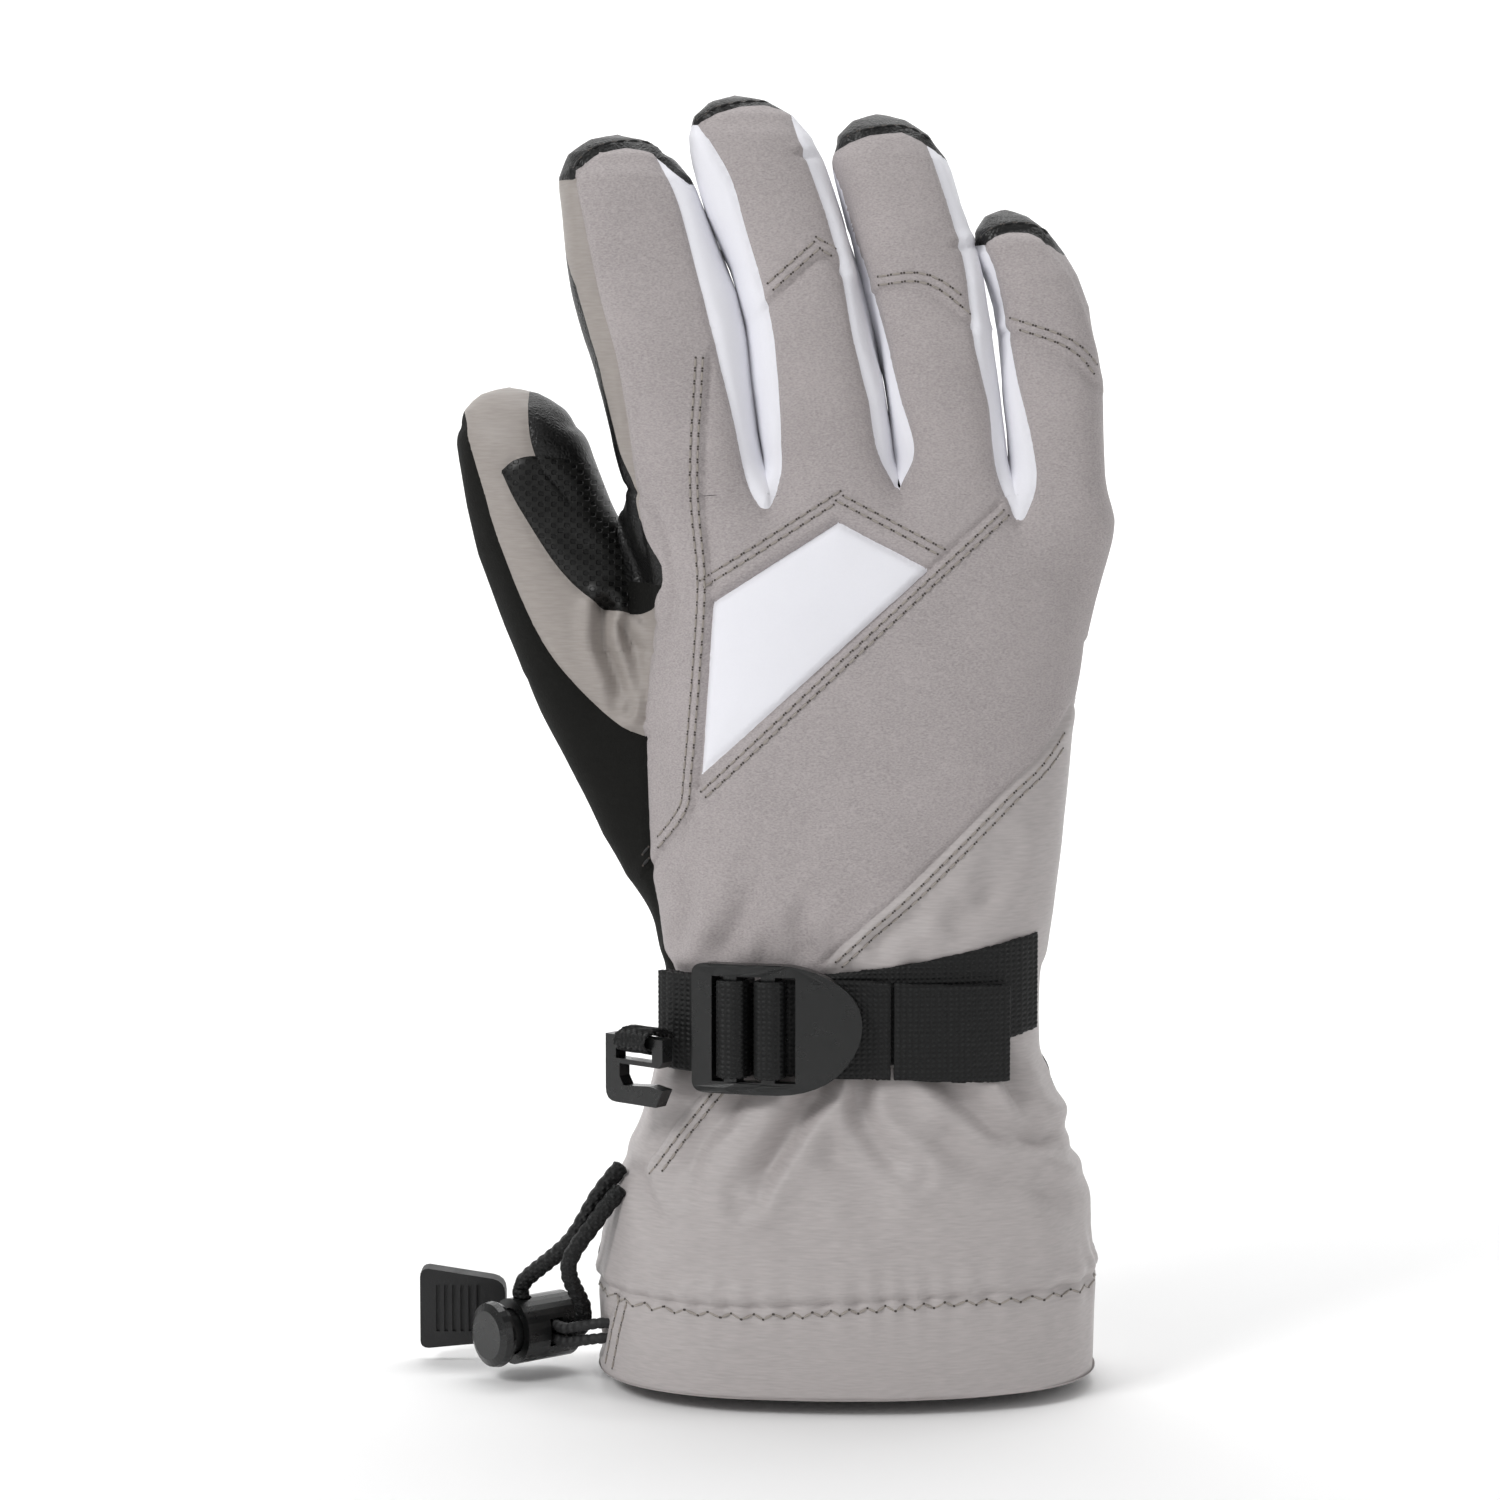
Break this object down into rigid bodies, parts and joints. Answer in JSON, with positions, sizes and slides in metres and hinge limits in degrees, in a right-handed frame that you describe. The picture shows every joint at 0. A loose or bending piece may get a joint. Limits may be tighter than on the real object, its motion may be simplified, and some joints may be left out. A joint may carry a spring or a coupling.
{
  "type": "ski glove",
  "caption": "Insulated right-hand ski glove with a gauntlet cuff, wrist strap with ladder buckle, hem drawcord with cord lock, and fingers, thumb and wrist that bend.",
  "frame": {"origin": "on the surface it stands on, under the middle of the glove without its free cords", "axes": "+Z from the hem to the fingertips, -Y out of the back of the hand, +Y out of the palm, -X towards the thumb"},
  "size_m": [0.1571, 0.076, 0.2905],
  "materials": {
    "softshell": "brushed grey softshell",
    "nylon": "grey ribbed nylon",
    "white_fabric": "white woven fabric",
    "black_fabric": "matte black stretch fabric",
    "black_leather": "black grained synthetic leather",
    "webbing": "black ribbed polyester webbing",
    "black_plastic": "satin black moulded plastic",
    "rubber": "matte black rubber",
    "lining": "dark grey fleece lining over insulation",
    "steel": "spring steel wire"
  },
  "bodies": {
    "gauntlet": {"cuff_back_panel": "nylon", "cuff_palm_panel": "black_fabric", "cuff_liner": "lining", "wrist_gusset": "softshell", "palm_wrist_elastic": "webbing", "hem_band": "nylon", "hem_drawcord": "webbing", "ladder_buckle": "black_plastic", "wrist_strap": "webbing", "strap_tail_root": "webbing", "strap_anchor": "webbing", "clip_loop": "webbing", "lock_barrel": "black_plastic", "lock_spring": "steel", "drawcord_strand_upper": "webbing", "drawcord_strand_lower": "webbing", "tether_upper": "webbing", "tether_lower": "webbing", "pull_tab": "rubber"},
    "hand": {"index_side_panel": "softshell", "palm_panel": "black_fabric", "chevron_panel": "white_fabric", "knuckle_panel": "softshell", "wrist_side_panel": "nylon", "backhand_panel": "softshell", "thumb_saddle_panel": "black_fabric", "hand_liner": "lining"},
    "strap_tail_free": {"strap_tail_end": "webbing"},
    "clip": {"glove_clip": "black_plastic"},
    "button": {"lock_button": "black_plastic"},
    "index_digit": {"index_back": "softshell", "index_outer_sidewall": "white_fabric", "index_palm": "black_leather", "index_thumb_sidewall": "nylon", "index_tip_cap": "black_leather", "index_liner": "lining"},
    "middle_digit": {"middle_back": "softshell", "middle_outer_sidewall": "white_fabric", "middle_palm": "black_leather", "middle_thumb_sidewall": "white_fabric", "middle_tip_cap": "black_leather", "middle_liner": "lining"},
    "ring_digit": {"ring_back": "softshell", "ring_outer_sidewall": "white_fabric", "ring_palm": "black_leather", "ring_thumb_sidewall": "white_fabric", "ring_tip_cap": "black_leather", "ring_liner": "lining"},
    "little_digit": {"little_back": "softshell", "little_outer_sidewall": "softshell", "little_palm": "black_leather", "little_thumb_sidewall": "white_fabric", "little_tip_cap": "black_leather", "little_liner": "lining"},
    "thumb_digit": {"thumb_back": "black_fabric", "thumb_side": "nylon", "thumb_wipe_patch": "black_fabric", "thumb_palm": "black_leather", "thumb_tip_cap": "black_leather", "thumb_liner": "lining"}
  },
  "joints": [
    {"name": "wrist_flex", "type": "hinge", "parent": "gauntlet", "child": "hand", "pos_m": [0.01846, 0, 0.112], "axis": [-1, 0, 0], "range_deg": [-15, 20], "deforming": ["wrist_gusset"]},
    {"name": "index_flex", "type": "hinge", "parent": "hand", "child": "index_digit", "pos_m": [-0.01714, 0.002, 0.198], "axis": [-1, 0, 0], "range_deg": [0, 40]},
    {"name": "middle_flex", "type": "hinge", "parent": "hand", "child": "middle_digit", "pos_m": [0.01266, 0.002, 0.198], "axis": [-1, 0, 0], "range_deg": [0, 40]},
    {"name": "ring_flex", "type": "hinge", "parent": "hand", "child": "ring_digit", "pos_m": [0.04066, 0.002, 0.198], "axis": [-1, 0, 0], "range_deg": [0, 40]},
    {"name": "little_flex", "type": "hinge", "parent": "hand", "child": "little_digit", "pos_m": [0.06376, 0.002, 0.198], "axis": [-1, 0, 0], "range_deg": [0, 40]},
    {"name": "thumb_flex", "type": "hinge", "parent": "hand", "child": "thumb_digit", "pos_m": [-0.04614, 0.016, 0.1705], "axis": [-1, 0, 0], "range_deg": [0, 35]},
    {"name": "strap_tail_lift", "type": "hinge", "parent": "gauntlet", "child": "strap_tail_free", "pos_m": [0.02525, -0.0318, 0.086], "axis": [0, 0, -1], "range_deg": [0, 60]},
    {"name": "clip_swing", "type": "hinge", "parent": "gauntlet", "child": "clip", "pos_m": [-0.03114, -0.025, 0.0789], "axis": [-0.7648, 0.6442, 0], "range_deg": [0, 20]},
    {"name": "lock_press", "type": "slide", "parent": "gauntlet", "child": "button", "axis": [0.788, 0.6157, 0], "range_m": [0, 0.003], "stiffness_N_per_m": 600, "springref_m": -0.003, "deforming": ["lock_spring"]}
  ]
}
